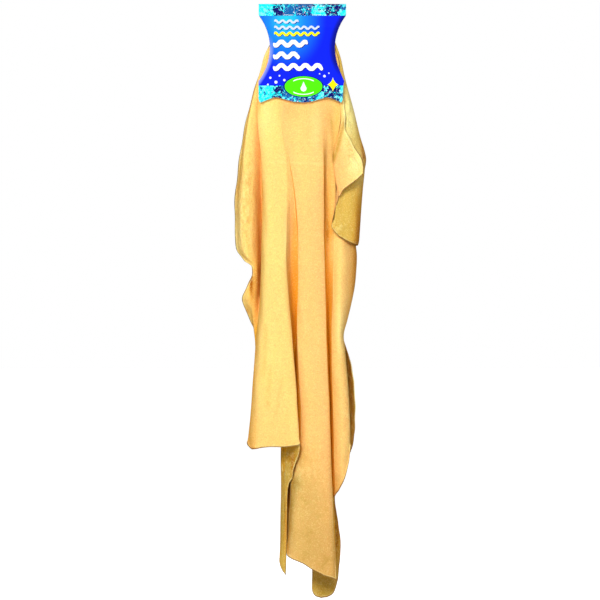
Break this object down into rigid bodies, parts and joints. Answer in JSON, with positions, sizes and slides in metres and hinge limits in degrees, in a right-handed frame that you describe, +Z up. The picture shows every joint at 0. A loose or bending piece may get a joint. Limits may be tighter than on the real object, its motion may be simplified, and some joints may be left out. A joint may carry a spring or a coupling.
{
  "type": "chamois leather",
  "caption": "Natural chamois skin for drying and polishing, gathered at its neck end inside a folded hourglass header card and hanging in deep folds.",
  "frame": {"origin": "middle of the header card's top fold, where a clip or peg takes hold", "axes": "+Z up, +X to the viewer's right as the printed face is seen, +Y away from the viewer, so the printed face looks along -Y"},
  "size_m": [0.1603, 0.0887, 0.7424],
  "materials": {
    "chamois_leather": "soft napped suede, pale yellow, matt",
    "printed_board": "smooth coated board printed in blue and cyan",
    "staple_wire": "bright zinc-plated flat wire"
  },
  "bodies": {
    "root": {"chamois_skin": "chamois_leather", "header_card": "printed_board", "staple_left": "staple_wire", "staple_right": "staple_wire"}
  },
  "joints": []
}
